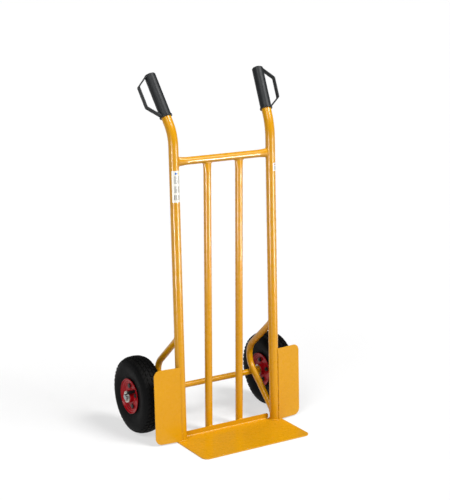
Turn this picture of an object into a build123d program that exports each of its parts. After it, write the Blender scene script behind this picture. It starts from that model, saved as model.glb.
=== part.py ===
"""Two-wheeled tubular steel hand truck, modelled piece by piece.

Frame: origin on the floor, midway between the two upright tubes. X runs along the
axle, +Y points from the toe plate back to the wheels, +Z is up. Millimetres.
Handed pieces are modelled on the +X side and mirrored to the -X side.
"""

import os
from math import cos, radians, sin, sqrt, tan

from build123d import *

# ---------------------------------------------------------------- clearances
weld_gap = 0.1          # root gap left between two pieces that a weld bead joins
seat_gap = 0.1          # loose parts that rest on one another
bolt_gap = 0.2          # radial, bolt shank in its hole
bearing_gap = 0.04      # radial, ball bearing on the axle
press_gap = 0.02        # radial, ball bearing in the hub tube
pinhole_gap = 0.25      # radial, split pin in its hole
rubber_gap = 0.3        # between rubber and the steel or rubber it bears on
side_play = 0.3         # along the axle, between a hub and its washers
cut_margin = 20.0       # how far a cutter reaches past what it cuts

# ---------------------------------------------------------------- frame tubes
upright_diameter = 32.0
upright_wall = 2.0
upright_spacing = 365.0     # centre to centre
lean_angle = 2.4            # uprights lean back from vertical, degrees
knee_height = 1010.0        # where the upright's axis meets the handle's axis
handle_bend_radius = 150.0
handle_tilt = 32.3          # handle from vertical, degrees
handle_splay = 10.9         # handle turned outward from straight back, degrees

cross_tube_diameter = 25.0
cross_tube_wall = 1.5
cross_tube_height = 922.0
inner_spacing = 120.0       # between the two inner uprights
pinch_width = 31.0          # a squeezed tube end, across its wide way
pinch_length = 34.0
cope_bury = 2.5             # tube left past its neighbour's flank before it is coped
inner_foot_height = 2.0     # inner uprights end this far above the floor

stay_diameter = 22.0
stay_wall = 2.0
stay_bend_radius = 64.0
stay_vertex_back = 40.5     # behind the axle, where the axes of a stay's two arms meet
stay_upper_angle = 41.6     # upper arm below horizontal, degrees
stay_lower_angle = 42.1     # lower arm below horizontal, degrees

# ---------------------------------------------------------------- sheet pieces
toe_width = 410.0
toe_front = 182.5           # front edge, forward of the uprights' axes
toe_sheet = 4.0
toe_corner = 20.0
toe_bend_radius = 4.0       # inside radius of the rear flange
flange_height = 21.0        # top of the rear flange above the floor
flange_end_gap = 2.5        # from the flange's end to the upright
relief_width = 2.0          # slot between the flange and the sheet beside it
sheet_edge = 0.6            # rounding of sheet edges

plate_width = 92.0          # wheel guard plates
plate_height = 251.0
plate_sheet = 3.0
plate_corner = 22.0
plate_sweep = 6.8           # outer edge swept back, degrees
plate_contact = 32.0        # where the plate's edge meets the tube, from its front

# ---------------------------------------------------------------- axle and wheels
axle_diameter = 20.0
tyre_clearance = 21.0       # tyre's front behind the uprights' axes, level with the axle
axle_end_margin = 5.0       # axle past the centre of its split pin
axle_chamfer = 1.5
wheel_track = 518.6         # between the two wheels' centre planes
tyre_diameter = 260.0
tyre_width = 78.0
tyre_shoulder_drop = 4.5    # crown to shoulder
tyre_shoulder_half = 27.0
tyre_shoulder_slope = 0.35
tyre_belly_radius = 98.0    # where the sidewall is widest
bead_face_half = 31.5       # outer face of the tyre's bead from the centre plane
bead_top_radius = 61.0
tube_centre_radius = 85.0   # inner tube's section
tube_half_width = 31.5
tube_half_height = 32.5
tube_wall = 2.0
bead_toe_height = 10.0      # bore between the two beads
bead_opening = 31.5

rim_seat_radius = 50.8
rim_sheet = 2.0
rim_bend_radius = 2.2
rim_flange_half = 33.0      # bead flange from the centre plane
rim_lip_radius = 59.0
rim_lip_half = 38.0
rim_lip_flare = 2.5
rim_bead_radius = 1.3       # rolled edge of the lip
disc_half = 29.0            # outer face of the bolted disc
disc_rise = 3.0             # hub boss and edge of the disc stand this much prouder
disc_boss_width = 2.5
disc_edge_width = 4.0
hub_diameter = 42.0
hub_length = 88.0
hub_bore = 30.0
bearing_diameter = 37.0
bearing_width = 9.0
race_width = 2.6            # each bearing race seen beside the shield
shield_depth = 0.5
hub_chamfer = 0.8
bolt_circle = 69.0
bolt_phase = 73.0           # first bolt above the rearward line, degrees
bolt_count = 4
bolt_diameter = 8.0
bolt_head_flats = 13.0
bolt_head_height = 5.3
nut_height = 6.5
bolt_end = 3.0              # thread showing past the nut
thread_gap = 0.1            # radial, between two threads

valve_y = -21.0             # valve's outboard end, from the wheel's centre
valve_z = 21.5
valve_root_depth = 6.0      # valve's root, outboard of the wheel's centre plane
valve_reach = 55.0          # valve's tip, outboard of the wheel's centre plane
valve_diameter = 8.0
valve_bend_radius = 9.0
valve_foot_diameter = 15.0
valve_foot_height = 1.1
valve_sleeve_diameter = 11.0
valve_sleeve_start = 20.0
valve_cap_wall = 0.8
valve_cap_length = 12.0

washer_diameter = 38.0
washer_thickness = 3.0
collar_diameter = 32.0
collar_width = 6.0
pin_wire = 1.9              # split pin's wire
pin_spread = 1.0            # each leg from the pin's centre line
pin_bend_radius = 1.7
pin_eye_width = 8.4
pin_eye_height = 8.2
pin_eye_top = 5.0           # flat across the top of the eye
pin_tail = 9.0              # tails below the axle
pin_flare = 5.0             # tails opened sideways
washer_clearance = 0.3      # radial, washer on the axle

# ---------------------------------------------------------------- grips
grip_start = 60.0           # grip's mouth, past the knee along the handle
grip_length = 150.0
grip_diameter = 37.5
grip_end_wall = 4.0
grip_end_rounding = 4.0
collar_lip_diameter = 42.0
collar_lip_width = 5.0
tube_end_gap = 0.5          # tube's end to the bottom of the grip's bore
guard_reach = 55.0          # guard strap from the grip's axis
guard_thickness = 4.0
guard_width = 16.5
guard_top_leg = 5.0         # distances below the grip's closed end
guard_top_corner = 35.0
guard_bottom_corner = 107.0
guard_bottom_leg = 143.0
guard_corner_radius = 9.0
guard_edge = 1.5
lip_rounding = 1.2

# ---------------------------------------------------------------- labels
label_thickness = 0.25
info_label_height = 101.0
info_label_middle = 846.0
info_label_span = 122.0     # degrees round the tube
small_label_height = 27.0
small_label_middle = 875.0
small_label_span = 60.0
small_label_turn = 26.0     # label's middle, degrees outward from the tube's front
label_glue = 0.05

# ---------------------------------------------------------------- derived places
upright_x = upright_spacing / 2
upright_radius = upright_diameter / 2
inner_x = inner_spacing / 2
cross_radius = cross_tube_diameter / 2
stay_radius = stay_diameter / 2
axle_radius = axle_diameter / 2
axle_z = tyre_diameter / 2
axle_y = tyre_diameter / 2 + tyre_clearance
stay_vertex_y = axle_y + stay_vertex_back
washer_bore = axle_diameter + 2 * washer_clearance
wheel_x = wheel_track / 2
hub_radius = hub_diameter / 2
flange_back = upright_radius + toe_sheet
flange_half_length = upright_x - upright_radius - flange_end_gap

lean = Vector(0, sin(radians(lean_angle)), cos(radians(lean_angle)))
lean_front = Vector(0, -cos(radians(lean_angle)), sin(radians(lean_angle)))
handle = Vector(
    sin(radians(handle_tilt)) * sin(radians(handle_splay)),
    sin(radians(handle_tilt)) * cos(radians(handle_splay)),
    cos(radians(handle_tilt)),
)


def upright_point(height):
    """Point of the right upright's axis at a height above the floor."""
    return Vector(upright_x, 0, 0) + lean * (height / lean.Z)


knee = upright_point(knee_height)
grip_mouth = knee + handle * grip_start
grip_outward = (Vector(1, 0, 0) - handle * handle.X).normalized()
cross_y = upright_point(cross_tube_height).Y


# A round tube squeezed to an oval keeps its perimeter.
pinch_depth = 2 * sqrt(2 * cross_radius**2 - (pinch_width / 2) ** 2)


def write(piece, name):
    """Label a finished piece and write its STEP file."""
    piece.part.label = name
    export_step(piece.part, f"parts/{name}.step")


def write_pair(piece, name):
    """Write a right-hand piece and its mirror image on the left."""
    write(piece, f"{name}_right")
    with BuildPart() as twin:
        mirror(piece.part, about=Plane.YZ)
    write(twin, f"{name}_left")


# ---------------------------------------------------------------- frame tubes
def upright_cylinder(radius):
    """Straight cylinder along the right upright, for coping what meets it."""
    with BuildPart() as cutter:
        with BuildSketch(Plane(origin=upright_point(-cut_margin), z_dir=lean)):
            Circle(radius)
        extrude(amount=cross_tube_height + 3 * cut_margin)
    return cutter.part


def make_upright():
    """Upright tube: cut level at the toe plate, bent back and outward into the handle."""
    tube_reach = grip_start + grip_length - grip_end_wall - tube_end_gap
    with BuildPart() as upright:
        with BuildLine() as path:
            FilletPolyline(
                upright_point(-cut_margin),
                knee,
                knee + handle * tube_reach,
                radius=handle_bend_radius,
            )
        with BuildSketch(Plane(origin=path.line @ 0, z_dir=path.line % 0)):
            Circle(upright_radius)
            Circle(upright_radius - upright_wall, mode=Mode.SUBTRACT)
        sweep(path=path.line)
        split(bisect_by=Plane.XY.offset(toe_sheet + weld_gap), keep=Keep.TOP)
    return upright


def squeezed_bar(plane, length, wall):
    """Round bar along a plane's normal, its far end squeezed wide along the plane's X.

    The wall is taken off all round, so that the same call makes the tube's bore.
    """
    with BuildPart() as bar:
        with BuildSketch(plane):
            Circle(cross_radius - wall)
        extrude(amount=length - pinch_length)
        with BuildSketch(plane.offset(length - pinch_length)):
            Circle(cross_radius - wall)
        with BuildSketch(plane.offset(length)):
            Ellipse(pinch_width / 2 - wall, pinch_depth / 2 - wall)
        loft()
    return bar.part


def make_cross_tube():
    """Top cross tube: both ends squeezed tall and coped onto the uprights."""
    middle = Vector(0, cross_y, cross_tube_height)
    reach = upright_x - sqrt(upright_radius**2 - (pinch_depth / 2) ** 2) + cope_bury
    plane = Plane(origin=middle, x_dir=(0, 0, 1), z_dir=(1, 0, 0))
    outside = squeezed_bar(plane, reach, 0.0)
    inside = squeezed_bar(plane, reach, cross_tube_wall)
    cope = upright_cylinder(upright_radius + weld_gap)
    with BuildPart() as cross_tube:
        add(outside)
        mirror(outside, about=Plane.YZ)
        for cutter in (inside, cope):
            add(cutter, mode=Mode.SUBTRACT)
            mirror(cutter, about=Plane.YZ, mode=Mode.SUBTRACT)
    return cross_tube


def make_inner_upright():
    """Inner upright: stands behind the toe flange, squeezed and coped under the cross tube."""
    bottom = Vector(inner_x, flange_back + weld_gap + cross_radius, 0)
    top = Vector(inner_x, cross_y, cross_tube_height)
    run = top - bottom
    reach = run.length - sqrt(cross_radius**2 - (pinch_depth / 2) ** 2) + cope_bury
    plane = Plane(origin=bottom, x_dir=(1, 0, 0), z_dir=run.normalized())
    inside = squeezed_bar(plane, reach, cross_tube_wall)
    with BuildPart() as inner_upright:
        add(squeezed_bar(plane, reach, 0.0))
        add(inside, mode=Mode.SUBTRACT)
        split(bisect_by=Plane.XY.offset(inner_foot_height), keep=Keep.TOP)
        with BuildSketch(Plane(origin=top, z_dir=(1, 0, 0))):
            Circle(cross_radius + weld_gap)
        extrude(amount=pinch_width, both=True, mode=Mode.SUBTRACT)
    return inner_upright


def make_axle_stay():
    """Bent tube from the upright's back round the axle and down to the upright's foot."""
    tangent_gap = axle_radius + stay_radius + weld_gap
    fall = radians(stay_lower_angle)
    vertex_z = axle_z + ((stay_vertex_y - axle_y) * sin(fall) + tangent_gap) / cos(fall)
    vertex = Vector(upright_x, stay_vertex_y, vertex_z)
    rise = tan(radians(stay_upper_angle))
    top_z = (vertex_z + rise * stay_vertex_y) / (1 + rise * tan(radians(lean_angle)))
    foot_z = (vertex_z - tan(fall) * stay_vertex_y) / (1 - tan(fall) * tan(radians(lean_angle)))
    with BuildPart() as stay:
        with BuildLine() as path:
            FilletPolyline(
                upright_point(top_z), vertex, upright_point(foot_z), radius=stay_bend_radius
            )
        with BuildSketch(Plane(origin=path.line @ 0, z_dir=path.line % 0)):
            Circle(stay_radius)
            Circle(stay_radius - stay_wall, mode=Mode.SUBTRACT)
        sweep(path=path.line)
        add(upright_cylinder(upright_radius + weld_gap), mode=Mode.SUBTRACT)
    return stay


# ---------------------------------------------------------------- sheet pieces
def make_toe_plate():
    """Toe plate: flat sheet with a rear flange turned up between the uprights."""
    bend_start = flange_back - toe_sheet - toe_bend_radius
    ear_back = upright_radius
    flange_middle = flange_back - toe_sheet / 2
    with BuildPart() as toe_plate:
        with BuildSketch():
            with Locations((0, (ear_back - toe_front) / 2)):
                Rectangle(toe_width, ear_back + toe_front)
            front = vertices().group_by(Axis.Y)[0]
            fillet(front, radius=toe_corner)
            with Locations((0, bend_start)):
                Rectangle(
                    2 * (flange_half_length + relief_width),
                    2 * (ear_back - bend_start),
                    align=(Align.CENTER, Align.MIN),
                    mode=Mode.SUBTRACT,
                )
        extrude(amount=toe_sheet)
        level_edges = edges().filter_by(Plane.XY)
        outline_edges = level_edges.filter_by(lambda e: e.center().Y < bend_start - relief_width)
        fillet(outline_edges, radius=sheet_edge)
        with BuildSketch(Plane.YZ):
            with BuildLine() as profile:
                FilletPolyline(
                    (bend_start, toe_sheet / 2),
                    (flange_middle, toe_sheet / 2),
                    (flange_middle, flange_height),
                    radius=toe_bend_radius + toe_sheet / 2,
                )
            trace(line_width=toe_sheet)
        extrude(amount=flange_half_length, both=True)
    return toe_plate


def make_guard_plate():
    """Wheel guard plate: flat sheet welded along the upright's outer front."""
    sweep_back = radians(plate_sweep)
    contact = radians(plate_contact)
    start_height = toe_sheet + weld_gap
    on_tube = lean_front * cos(contact) + Vector(1, 0, 0) * sin(contact)
    corner = upright_point(start_height) + on_tube * (upright_radius + weld_gap)
    across = Vector(1, 0, 0) * cos(sweep_back) - lean_front * sin(sweep_back)
    with BuildPart() as plate:
        with BuildSketch(Plane(origin=corner, x_dir=across, z_dir=across.cross(lean))):
            Rectangle(plate_width, plate_height, align=(Align.MIN, Align.MIN))
            outer = vertices().sort_by(Axis(corner, across))[-2:]
            fillet(outer, radius=plate_corner)
        extrude(amount=plate_sheet)
        faces_flat = faces().sort_by(SortBy.AREA)[-2:]
        fillet(faces_flat.edges(), radius=sheet_edge)
    return plate


# ---------------------------------------------------------------- axle fittings
hub_inner_x = wheel_x - hub_length / 2
hub_outer_x = wheel_x + hub_length / 2
inner_washer_x = hub_inner_x - side_play - washer_thickness
outer_washer_x = hub_outer_x + side_play
collar_x = inner_washer_x - collar_width - seat_gap
pin_hole_radius = pin_spread + pin_wire / 2 + pinhole_gap
pin_x = outer_washer_x + washer_thickness + pin_hole_radius
axle_half = pin_x + axle_end_margin


def make_ring(x_start, width, outer, inner):
    """Flat ring round the axle line, from x_start outward."""
    with BuildPart() as body:
        with BuildSketch(Plane(origin=(x_start, axle_y, axle_z), z_dir=(1, 0, 0))):
            Circle(outer / 2)
            Circle(inner / 2, mode=Mode.SUBTRACT)
        extrude(amount=width)
    return body


def make_axle():
    """Solid axle with chamfered ends, cross-drilled for the split pins."""
    with BuildPart() as axle:
        with BuildSketch(Plane(origin=(-axle_half, axle_y, axle_z), z_dir=(1, 0, 0))):
            Circle(axle_radius)
        extrude(amount=2 * axle_half)
        chamfer(edges().filter_by(GeomType.CIRCLE), length=axle_chamfer)
        with BuildSketch(Plane.XY.offset(axle_z)):
            with Locations((pin_x, axle_y), (-pin_x, axle_y)):
                Circle(pin_hole_radius)
        extrude(amount=axle_diameter, both=True, mode=Mode.SUBTRACT)
    return axle


def make_split_pin():
    """Split pin: one wire, its eye above the axle and its two tails opened below."""
    head = axle_z + axle_radius + pinhole_gap
    tail = axle_z - axle_radius - pin_tail
    half_eye = pin_eye_width / 2
    with BuildPart() as pin:
        with BuildLine(Plane(origin=(pin_x, axle_y, 0), x_dir=(0, 1, 0), z_dir=(1, 0, 0))) as wire:
            FilletPolyline(
                (-pin_spread - pin_flare, tail),
                (-pin_spread, tail + pin_flare),
                (-pin_spread, head),
                (-half_eye, head + pin_eye_height / 2),
                (-pin_eye_top / 2, head + pin_eye_height),
                (pin_eye_top / 2, head + pin_eye_height),
                (half_eye, head + pin_eye_height / 2),
                (pin_spread, head),
                (pin_spread, tail + pin_flare),
                (pin_spread + pin_flare, tail),
                radius=pin_bend_radius,
            )
        with BuildSketch(Plane(origin=wire.line @ 0, z_dir=wire.line % 0)):
            Circle(pin_wire / 2)
        sweep(path=wire.line)
    return pin


# ---------------------------------------------------------------- wheel
hub_centre = Vector(wheel_x, axle_y, axle_z)
section_plane = Plane(origin=hub_centre, x_dir=(0, 1, 0), z_dir=(0, 0, -1))
wheel_plane = Plane(origin=hub_centre, x_dir=(0, 1, 0), z_dir=(1, 0, 0))
wheel_axis = Axis(hub_centre, (1, 0, 0))
disc_middle = disc_half - rim_sheet / 2
seat_middle = rim_seat_radius - rim_sheet / 2
lip_middle = rim_lip_radius - rim_sheet / 2

valve_spoke = Vector(0, valve_y, valve_z)
valve_outward = valve_spoke.normalized()
valve_root = hub_centre + Vector(valve_root_depth, 0, 0)
valve_foot = valve_root + valve_outward * (rim_seat_radius + rubber_gap)


def make_tyre():
    """Tyre carcass: rounded crown, bulging sidewalls and two beads, open towards the rim."""
    crown = tyre_diameter / 2
    belly = tyre_width / 2
    bead = rim_seat_radius + rubber_gap
    shoulder = crown - tyre_shoulder_drop
    with BuildPart() as tyre:
        with BuildSketch(section_plane):
            with BuildLine():
                ThreePointArc(
                    (shoulder, -tyre_shoulder_half), (crown, 0), (shoulder, tyre_shoulder_half)
                )
                for way in (-1, 1):
                    Spline(
                        (shoulder, way * tyre_shoulder_half),
                        (tyre_belly_radius, way * belly),
                        (bead_top_radius, way * bead_face_half),
                        tangents=((-tyre_shoulder_slope, way), (-1, 0)),
                    )
                    Line((bead_top_radius, way * bead_face_half), (bead, way * bead_face_half))
                Line((bead, -bead_face_half), (bead, bead_face_half))
            make_face()
            with Locations((tube_centre_radius, 0)):
                Ellipse(
                    tube_half_height + rubber_gap,
                    tube_half_width + rubber_gap,
                    mode=Mode.SUBTRACT,
                )
            with Locations((bead, 0)):
                Rectangle(bead_toe_height * 2, bead_opening, mode=Mode.SUBTRACT)
        revolve(axis=wheel_axis)
    return tyre


def make_inner_tube():
    """Inflated inner tube, a closed hollow ring of oval section."""
    with BuildPart() as tube:
        with BuildSketch(section_plane):
            with Locations((tube_centre_radius, 0)):
                Ellipse(tube_half_height, tube_half_width)
                Ellipse(
                    tube_half_height - tube_wall,
                    tube_half_width - tube_wall,
                    mode=Mode.SUBTRACT,
                )
        revolve(axis=wheel_axis)
    return tube


def make_rim_half(side):
    """Pressed rim half: bead seat, rolled lip and the bolted disc inside it.

    side is +1 for the outboard half, which also has the valve's two holes, -1 inboard.
    """
    proud = disc_middle + disc_rise
    boss = hub_radius + weld_gap
    with BuildPart() as rim:
        with BuildSketch(section_plane):
            with BuildLine() as barrel:
                FilletPolyline(
                    (seat_middle, side * weld_gap),
                    (seat_middle, side * rim_flange_half),
                    (lip_middle - rim_lip_flare, side * (rim_flange_half + rim_sheet / 2)),
                    (lip_middle, side * rim_lip_half),
                    radius=rim_bend_radius,
                )
            trace(barrel.line, line_width=rim_sheet)
            with Locations((lip_middle, side * rim_lip_half)):
                Circle(rim_bead_radius)
            with BuildLine() as disc:
                FilletPolyline(
                    (boss, side * proud),
                    (boss + disc_boss_width, side * proud),
                    (boss + disc_boss_width + disc_rise, side * disc_middle),
                    (seat_middle - disc_edge_width - disc_rise, side * disc_middle),
                    (seat_middle - disc_edge_width, side * proud),
                    (seat_middle, side * proud),
                    radius=rim_bend_radius,
                )
            trace(disc.line, line_width=rim_sheet)
        revolve(axis=wheel_axis)
        with BuildSketch(wheel_plane.offset(side * disc_middle)):
            with PolarLocations(bolt_circle / 2, bolt_count, start_angle=bolt_phase):
                Circle(bolt_diameter / 2 + bolt_gap)
        extrude(amount=rim_sheet, both=True, mode=Mode.SUBTRACT)
        if side > 0:
            with BuildSketch(wheel_plane.offset(disc_middle)):
                with Locations((valve_y, valve_z)):
                    Circle(valve_sleeve_diameter / 2 + bolt_gap)
            extrude(amount=disc_rise + rim_sheet, both=True, mode=Mode.SUBTRACT)
            with BuildSketch(Plane(origin=valve_foot, z_dir=valve_outward)):
                Circle(valve_diameter / 2 + bolt_gap)
            extrude(amount=2 * rim_sheet, both=True, mode=Mode.SUBTRACT)
    return rim


def make_hub():
    """Hub tube with a bearing seat bored into each end."""
    with BuildPart() as hub:
        with BuildSketch(wheel_plane):
            Circle(hub_radius)
            Circle(hub_bore / 2, mode=Mode.SUBTRACT)
        extrude(amount=hub_length / 2, both=True)
        for side in (-1, 1):
            with BuildSketch(wheel_plane.offset(side * (hub_length / 2 - bearing_width))):
                Circle(bearing_diameter / 2 + press_gap)
            extrude(amount=side * bearing_width, mode=Mode.SUBTRACT)
        chamfer(edges().filter_by(GeomType.CIRCLE).sort_by(SortBy.RADIUS)[-2:], length=hub_chamfer)
    return hub


def make_bearings():
    """Two sealed ball bearings, one flush in each end of the hub, shields set in."""
    with BuildPart() as bearings:
        for side in (-1, 1):
            with BuildSketch(wheel_plane.offset(side * (hub_length / 2 - bearing_width))):
                Circle(bearing_diameter / 2)
                Circle(axle_radius + bearing_gap, mode=Mode.SUBTRACT)
            extrude(amount=side * bearing_width)
            for face_at in (hub_length / 2 - bearing_width, hub_length / 2):
                with BuildSketch(wheel_plane.offset(side * face_at)):
                    Circle(bearing_diameter / 2 - race_width)
                    Circle(axle_radius + race_width, mode=Mode.SUBTRACT)
                extrude(amount=shield_depth, both=True, mode=Mode.SUBTRACT)
    return bearings


def make_rim_bolts():
    """Long hexagon bolts through both rim discs, heads outboard."""
    head_face = disc_half + seat_gap
    end_face = -(disc_half + seat_gap + nut_height + bolt_end)
    with BuildPart() as bolts:
        with BuildSketch(wheel_plane.offset(end_face)):
            with PolarLocations(bolt_circle / 2, bolt_count, start_angle=bolt_phase):
                Circle(bolt_diameter / 2)
        extrude(amount=head_face - end_face)
        with BuildSketch(wheel_plane.offset(head_face)):
            with PolarLocations(bolt_circle / 2, bolt_count, start_angle=bolt_phase):
                RegularPolygon(bolt_head_flats / 2, 6, major_radius=False, rotation=30)
        extrude(amount=bolt_head_height)
    return bolts


def make_rim_nuts():
    """Hexagon nuts on the rim bolts, against the inboard disc."""
    with BuildPart() as nuts:
        with BuildSketch(wheel_plane.offset(-disc_half - seat_gap)):
            with PolarLocations(bolt_circle / 2, bolt_count, start_angle=bolt_phase):
                RegularPolygon(bolt_head_flats / 2, 6, major_radius=False, rotation=30)
                Circle(bolt_diameter / 2 + thread_gap, mode=Mode.SUBTRACT)
        extrude(amount=-nut_height)
    return nuts


def make_valve():
    """Bent valve: foot on the inner tube, stem through the rim, end turned outboard."""
    elbow = valve_root + valve_spoke
    tip = hub_centre + valve_spoke + Vector(valve_reach, 0, 0)
    sleeve_plane = Plane(
        origin=hub_centre + valve_spoke + Vector(valve_sleeve_start, 0, 0), z_dir=(1, 0, 0)
    )
    sleeve_length = valve_reach - valve_sleeve_start - valve_cap_length + valve_cap_wall
    with BuildPart() as valve:
        with BuildLine() as path:
            FilletPolyline(valve_foot, elbow, tip, radius=valve_bend_radius)
        with BuildSketch(Plane(origin=path.line @ 0, z_dir=path.line % 0)):
            Circle(valve_diameter / 2)
        sweep(path=path.line)
        with BuildSketch(Plane(origin=valve_foot, z_dir=valve_outward)):
            Circle(valve_foot_diameter / 2)
        extrude(amount=valve_foot_height)
        with BuildSketch(sleeve_plane):
            Circle(valve_sleeve_diameter / 2)
        extrude(amount=sleeve_length)
    return valve


def make_valve_cap():
    """Dust cap screwed on the valve's tip."""
    mouth = hub_centre + valve_spoke
    mouth += Vector(valve_reach + valve_cap_wall + seat_gap - valve_cap_length + seat_gap, 0, 0)
    bore_radius = valve_diameter / 2 + thread_gap
    with BuildPart() as cap:
        with BuildSketch(Plane(origin=mouth, z_dir=(1, 0, 0))):
            Circle(bore_radius + valve_cap_wall)
        extrude(amount=valve_cap_length)
        fillet(edges().sort_by(Axis.X)[-1], radius=valve_cap_wall)
        with BuildSketch(Plane(origin=mouth, z_dir=(1, 0, 0))):
            Circle(bore_radius)
        extrude(amount=valve_cap_length - valve_cap_wall - seat_gap, mode=Mode.SUBTRACT)
    return cap


# ---------------------------------------------------------------- grips
def make_grip():
    """Moulded grip: closed sleeve over the tube's end with a knuckle guard strap outside it."""
    body_radius = grip_diameter / 2
    lip_radius = collar_lip_diameter / 2
    root_radius = body_radius - guard_thickness / 2
    section = Plane(origin=grip_mouth, x_dir=grip_outward, z_dir=grip_outward.cross(handle))
    with BuildPart() as grip:
        with BuildSketch(section):
            with BuildLine():
                FilletPolyline(
                    (0, grip_length),
                    (body_radius, grip_length),
                    (body_radius, collar_lip_width),
                    (lip_radius, collar_lip_width),
                    (lip_radius, 0),
                    (0, 0),
                    radius=[grip_end_rounding, lip_rounding, lip_rounding, lip_rounding],
                )
                Line((0, 0), (0, grip_length))
            make_face()
        revolve(axis=Axis(grip_mouth, handle))
        with BuildLine(section) as strap:
            FilletPolyline(
                (root_radius, grip_length - guard_top_leg),
                (guard_reach, grip_length - guard_top_corner),
                (guard_reach, grip_length - guard_bottom_corner),
                (root_radius, grip_length - guard_bottom_leg),
                radius=guard_corner_radius,
            )
        with BuildSketch(Plane(origin=strap.line @ 0, x_dir=section.z_dir, z_dir=strap.line % 0)):
            RectangleRounded(guard_width, guard_thickness, guard_edge)
        sweep(path=strap.line)
        with BuildSketch(Plane(origin=grip_mouth, z_dir=handle)):
            Circle(upright_radius + rubber_gap / 2)
        extrude(amount=grip_length - grip_end_wall, mode=Mode.SUBTRACT)
    return grip


# ---------------------------------------------------------------- labels
def make_label(height, middle, span, turn):
    """Thin printed label wrapped round the right upright.

    turn is the label's middle, in degrees outward from the tube's front.
    """
    start = radians(turn - span / 2)
    first_edge = lean_front * cos(start) + Vector(1, 0, 0) * sin(start)
    centre = upright_point(middle)
    with BuildPart() as label:
        with BuildSketch(Plane(origin=centre, x_dir=first_edge, z_dir=first_edge.cross(lean))):
            with Locations((upright_radius + label_glue + label_thickness / 2, 0)):
                Rectangle(label_thickness, height)
        revolve(axis=Axis(centre, lean), revolution_arc=span)
    return label


# ---------------------------------------------------------------- write every piece
os.makedirs("parts", exist_ok=True)

write_pair(make_upright(), "upright")
write(make_cross_tube(), "top_cross_tube")
write_pair(make_inner_upright(), "inner_upright")
write_pair(make_axle_stay(), "axle_stay")
write(make_toe_plate(), "toe_plate")
write_pair(make_guard_plate(), "wheel_guard_plate")
write(make_axle(), "axle")
collar_bore = axle_diameter + 2 * weld_gap
write_pair(make_ring(collar_x, collar_width, collar_diameter, collar_bore), "axle_collar")
write_pair(make_ring(inner_washer_x, washer_thickness, washer_diameter, washer_bore), "inner_washer")
write_pair(make_ring(outer_washer_x, washer_thickness, washer_diameter, washer_bore), "outer_washer")
write_pair(make_split_pin(), "split_pin")
write_pair(make_tyre(), "tyre")
write_pair(make_inner_tube(), "inner_tube")
write_pair(make_rim_half(1), "outer_rim_half")
write_pair(make_rim_half(-1), "inner_rim_half")
write_pair(make_hub(), "hub")
write_pair(make_bearings(), "wheel_bearings")
write_pair(make_rim_bolts(), "rim_bolts")
write_pair(make_rim_nuts(), "rim_nuts")
write_pair(make_valve(), "valve")
write_pair(make_valve_cap(), "valve_cap")
write_pair(make_grip(), "grip")

info_label = make_label(info_label_height, info_label_middle, info_label_span, 0.0)
with BuildPart() as left_info_label:
    mirror(info_label.part, about=Plane.YZ)
write(left_info_label, "info_label")
small_label = make_label(
    small_label_height, small_label_middle, small_label_span, small_label_turn
)
write(small_label, "small_label")
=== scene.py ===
"""Hand truck: welded tube frame, two air-filled wheels, looped grips.

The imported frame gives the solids. This script dresses them in their finishes, adds the
weld beads, the treaded tyres and the knurled valve caps, and sets up the studio.
"""

from __future__ import annotations

import logging
import math
from bisect import bisect_left
from collections.abc import Callable, Sequence
from dataclasses import dataclass, field
from enum import Enum
from itertools import accumulate

import bpy
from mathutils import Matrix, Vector, noise

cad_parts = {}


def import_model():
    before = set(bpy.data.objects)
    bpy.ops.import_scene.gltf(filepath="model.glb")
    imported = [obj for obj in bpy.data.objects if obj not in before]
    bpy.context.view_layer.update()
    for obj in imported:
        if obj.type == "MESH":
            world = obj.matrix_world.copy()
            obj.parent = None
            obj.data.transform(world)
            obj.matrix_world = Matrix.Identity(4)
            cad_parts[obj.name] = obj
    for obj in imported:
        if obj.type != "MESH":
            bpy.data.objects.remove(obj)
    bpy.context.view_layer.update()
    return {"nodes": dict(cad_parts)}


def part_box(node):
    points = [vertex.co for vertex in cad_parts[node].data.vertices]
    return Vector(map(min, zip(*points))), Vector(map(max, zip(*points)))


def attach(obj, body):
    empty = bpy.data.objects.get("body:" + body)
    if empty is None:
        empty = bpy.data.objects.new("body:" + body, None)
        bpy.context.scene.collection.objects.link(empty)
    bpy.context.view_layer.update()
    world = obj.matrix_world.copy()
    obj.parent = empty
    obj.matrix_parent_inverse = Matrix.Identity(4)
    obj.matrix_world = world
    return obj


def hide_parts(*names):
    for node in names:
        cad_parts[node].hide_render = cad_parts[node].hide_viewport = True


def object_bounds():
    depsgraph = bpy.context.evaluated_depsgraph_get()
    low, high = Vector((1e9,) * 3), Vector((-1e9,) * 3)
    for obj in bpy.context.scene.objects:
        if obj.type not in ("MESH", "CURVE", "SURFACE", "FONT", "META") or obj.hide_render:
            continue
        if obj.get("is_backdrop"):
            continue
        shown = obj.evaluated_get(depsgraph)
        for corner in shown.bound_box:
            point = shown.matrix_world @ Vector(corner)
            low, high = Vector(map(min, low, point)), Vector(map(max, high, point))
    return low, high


LOG = logging.getLogger("hand_truck")
MM = 0.001
AXLE_Y = 151.0  # centre line of the wheels' axle, in mm
AXLE_Z = 130.0

Colour = tuple[float, float, float, float]
Faces = list[tuple[int, ...]]
Fixed = tuple[tuple[str, float], ...]  # shader inputs that are the same all over
Guide = Callable[[float], tuple[Vector, Vector]]
Pair = tuple[float, float]
Path = list[Vector]
Piece = bpy.types.Object
Socket = bpy.types.NodeSocket
Sockets = dict[str | int, object]
Tree = bpy.types.NodeTree
Triple = tuple[float, float, float]


class Side(Enum):
    """The two sides of the truck, seen from the load."""

    LEFT = -1
    RIGHT = 1

    @property
    def word(self) -> str:
        """The side's name as the nodes spell it."""
        return self.name.lower()

    def place(self, x: float, y: float, z: float) -> Vector:
        """Point given for the right side, in mm, moved to this side, in metres."""
        return Vector((self.value * x, y, z)) * MM


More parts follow.
